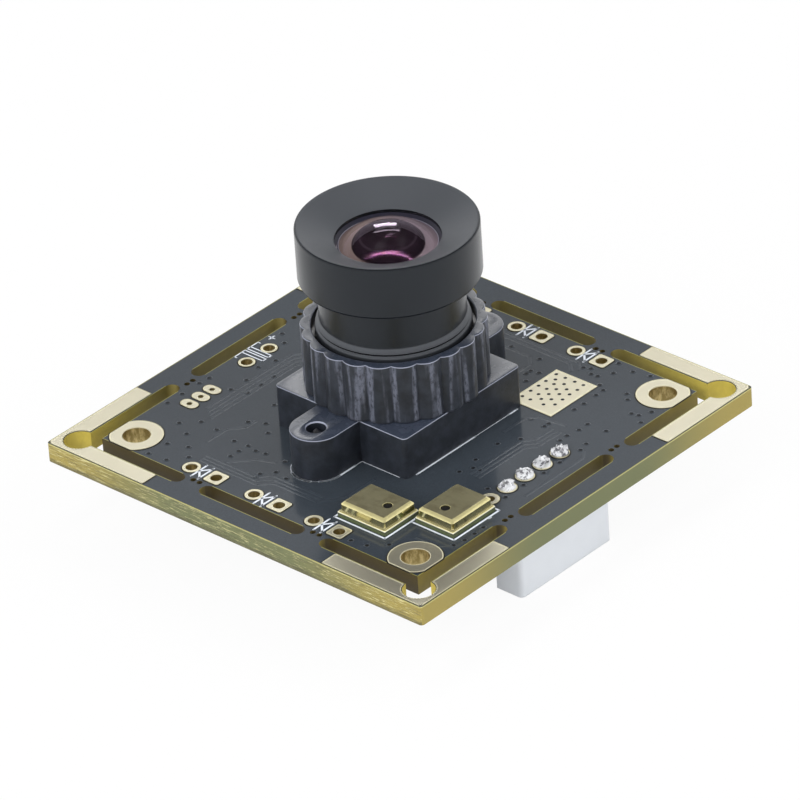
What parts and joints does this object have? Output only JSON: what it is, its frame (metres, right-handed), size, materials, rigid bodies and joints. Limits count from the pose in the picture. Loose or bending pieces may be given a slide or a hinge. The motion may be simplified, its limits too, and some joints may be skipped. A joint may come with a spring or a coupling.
{
  "type": "camera module",
  "caption": "Square camera circuit board with a screw-in lens in a ribbed holder, top microphones, plated pads, a break-away rim and a plug socket underneath.",
  "frame": {"origin": "centre of the four mounting holes, on the underside of the board", "axes": "+Z along the lens axis, away from the board; +X and +Y along the sides of the board, with the plug socket on the -Y side and the microphones in the -X -Y corner"},
  "size_m": [0.038, 0.038, 0.0245],
  "materials": {
    "board": "dark solder mask on glass-fibre laminate, semi-gloss",
    "gold_plating": "thin flat gold plating",
    "holder_plastic": "moulded, satin",
    "screw_steel": "plated",
    "barrel_black": "black anodised, matt",
    "coated_glass": "polished, purple anti-reflection coating",
    "clear_glass": "polished",
    "filter_glass": "polished, coated",
    "blackened_ring": "blackened",
    "chip_black": "moulded resin",
    "silicon": "polished chip",
    "mic_laminate": "cut laminate",
    "mic_brass": "thin gold flash, satin",
    "white_plastic": "moulded, satin",
    "tinned_metal": "tin plated",
    "solder": "rough bright solder",
    "ceramic": "fired ceramic",
    "capacitor_ceramic": "fired ceramic"
  },
  "bodies": {
    "root": {"circuit_board": "board", "copper_pads": "gold_plating", "lens_holder": "holder_plastic", "holder_screws": "screw_steel", "lens_barrel": "barrel_black", "front_lens": "coated_glass", "front_spacer": "blackened_ring", "second_lens": "coated_glass", "aperture_plate": "blackened_ring", "third_lens": "clear_glass", "rear_spacer": "blackened_ring", "rear_lens": "clear_glass", "retaining_ring": "blackened_ring", "colour_filter": "filter_glass", "sensor_package": "chip_black", "sensor_chip": "silicon", "sensor_cover_glass": "clear_glass", "left_mic_base": "mic_laminate", "left_mic_chips": "silicon", "left_mic_can": "mic_brass", "right_mic_base": "mic_laminate", "right_mic_chips": "silicon", "right_mic_can": "mic_brass", "socket_housing": "white_plastic", "socket_contacts": "tinned_metal", "solder_joints": "solder", "processor": "chip_black", "processor_leads": "tinned_metal", "memory_chip": "chip_black", "memory_leads": "tinned_metal", "regulators": "chip_black", "regulator_leads": "tinned_metal", "crystal_base": "ceramic", "crystal_lid": "tinned_metal", "capacitors": "capacitor_ceramic", "resistors": "chip_black", "chip_ends": "tinned_metal"}
  },
  "joints": []
}
